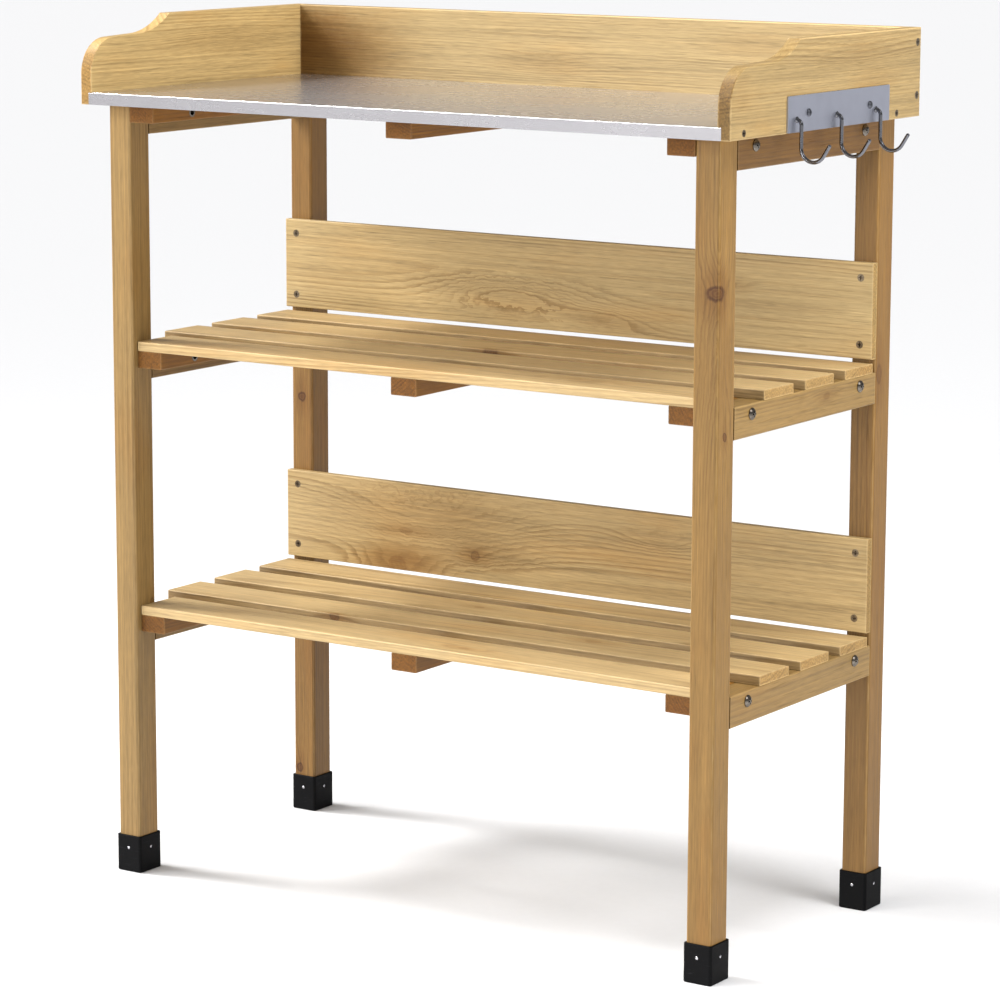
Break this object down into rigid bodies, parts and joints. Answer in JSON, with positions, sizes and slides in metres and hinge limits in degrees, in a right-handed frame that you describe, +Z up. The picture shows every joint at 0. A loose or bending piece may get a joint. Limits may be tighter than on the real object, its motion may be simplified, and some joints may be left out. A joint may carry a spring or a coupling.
{
  "type": "potting bench",
  "caption": "Wooden potting bench with a metal-covered worktop, raised side and back panels, slatted shelves with backboards, capped feet and a hook rack.",
  "frame": {"origin": "on the floor, under the middle of the whole box, hooks included", "axes": "+Z up, -Y is the front where the gardener stands, +X is the side with the hook rack"},
  "size_m": [0.8192, 0.375, 0.911],
  "materials": {
    "leg_wood": "clear-stained softwood, satin",
    "rail_wood": "clear-stained softwood, satin",
    "batten_wood": "clear-stained softwood, satin",
    "slat_wood": "clear-stained softwood, satin",
    "backboard_wood": "clear-stained softwood, satin",
    "panel_wood": "clear-stained softwood, satin",
    "worktop_core": "raw board",
    "worktop_metal": "galvanised sheet, satin",
    "cap_plastic": "moulded, fine texture",
    "pin_steel": "bright",
    "rack_plate": "zinc-plated, satin",
    "hook_wire": "bright",
    "dowel_wood": "raw",
    "bolt_steel": "zinc-plated",
    "screw_steel": "zinc-plated"
  },
  "bodies": {
    "root": {"back_left_foot_cap": "cap_plastic", "back_left_leg": "leg_wood", "back_panel": "panel_wood", "back_panel_screws": "screw_steel", "back_right_foot_cap": "cap_plastic", "back_right_leg": "leg_wood", "backboard_screws": "screw_steel", "corner_screws": "screw_steel", "foot_cap_pins": "pin_steel", "frame_dowels": "dowel_wood", "front_hook": "hook_wire", "front_left_foot_cap": "cap_plastic", "front_left_leg": "leg_wood", "front_right_foot_cap": "cap_plastic", "front_right_leg": "leg_wood", "hook_plate": "rack_plate", "hook_plate_screws": "screw_steel", "left_lower_rail": "rail_wood", "left_middle_rail": "rail_wood", "left_side_panel": "panel_wood", "left_top_rail": "rail_wood", "lower_backboard": "backboard_wood", "lower_centre_batten": "batten_wood", "lower_left_batten": "batten_wood", "lower_right_batten": "batten_wood", "lower_slat_1": "slat_wood", "lower_slat_2": "slat_wood", "lower_slat_3": "slat_wood", "lower_slat_4": "slat_wood", "middle_backboard": "backboard_wood", "middle_centre_batten": "batten_wood", "middle_hook": "hook_wire", "middle_left_batten": "batten_wood", "middle_right_batten": "batten_wood", "middle_slat_1": "slat_wood", "middle_slat_2": "slat_wood", "middle_slat_3": "slat_wood", "middle_slat_4": "slat_wood", "rail_bolts": "bolt_steel", "rear_hook": "hook_wire", "right_lower_rail": "rail_wood", "right_middle_rail": "rail_wood", "right_side_panel": "panel_wood", "right_top_rail": "rail_wood", "side_panel_screws": "screw_steel", "slat_screws": "screw_steel", "threaded_inserts": "bolt_steel", "top_centre_batten": "batten_wood", "top_left_batten": "batten_wood", "top_right_batten": "batten_wood", "worktop_board": "worktop_core", "worktop_metal_sheet": "worktop_metal", "worktop_screws": "screw_steel"}
  },
  "joints": []
}
